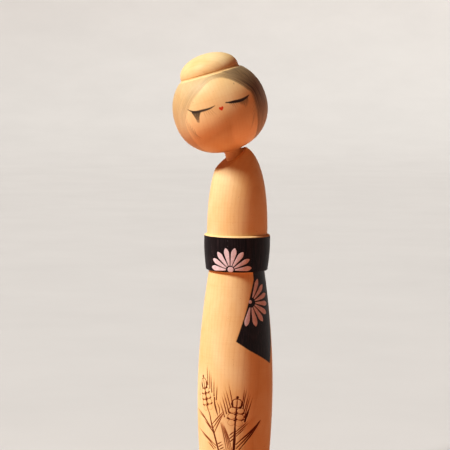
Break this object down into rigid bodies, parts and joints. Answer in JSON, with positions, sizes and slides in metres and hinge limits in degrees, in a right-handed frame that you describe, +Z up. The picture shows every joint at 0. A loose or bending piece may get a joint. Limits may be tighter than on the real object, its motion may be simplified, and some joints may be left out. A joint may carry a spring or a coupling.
{
  "type": "kokeshi doll",
  "caption": "Turned wooden kokeshi doll: swelling lower body, raised black sash, slant-cut torso, and a leaning round head with a bun that turns on its peg.",
  "frame": {"origin": "centre of the base, on the flat face that the doll stands on", "axes": "+Z up along the body's turning axis, -Y towards the side that the face looks, +X to the viewer's right from the front"},
  "size_m": [0.0657, 0.0598, 0.2733],
  "materials": {
    "lower_wood": "satin clear coat over pale turned wood, with burnt and painted decoration in front",
    "sash_black": "semi-gloss black paint over turned wood, with painted pale petals in front",
    "torso_wood": "satin clear coat over pale turned wood",
    "head_wood": "satin clear coat over pale turned wood, with washed grey hair and a painted face",
    "bun_wood": "satin clear coat over pale turned wood",
    "dowel_wood": "bare wood"
  },
  "bodies": {
    "body": {"lower_body": "lower_wood", "sash_band": "sash_black", "torso": "torso_wood", "body_dowel": "dowel_wood"},
    "head": {"head": "head_wood", "neck_peg": "dowel_wood", "hair_bun": "bun_wood", "bun_peg": "dowel_wood"}
  },
  "joints": [
    {"name": "head_turn", "type": "hinge", "parent": "body", "child": "head", "pos_m": [0, 0, 0.2002], "axis": [-0.2973, -0.0262, 0.9544], "continuous": true}
  ]
}
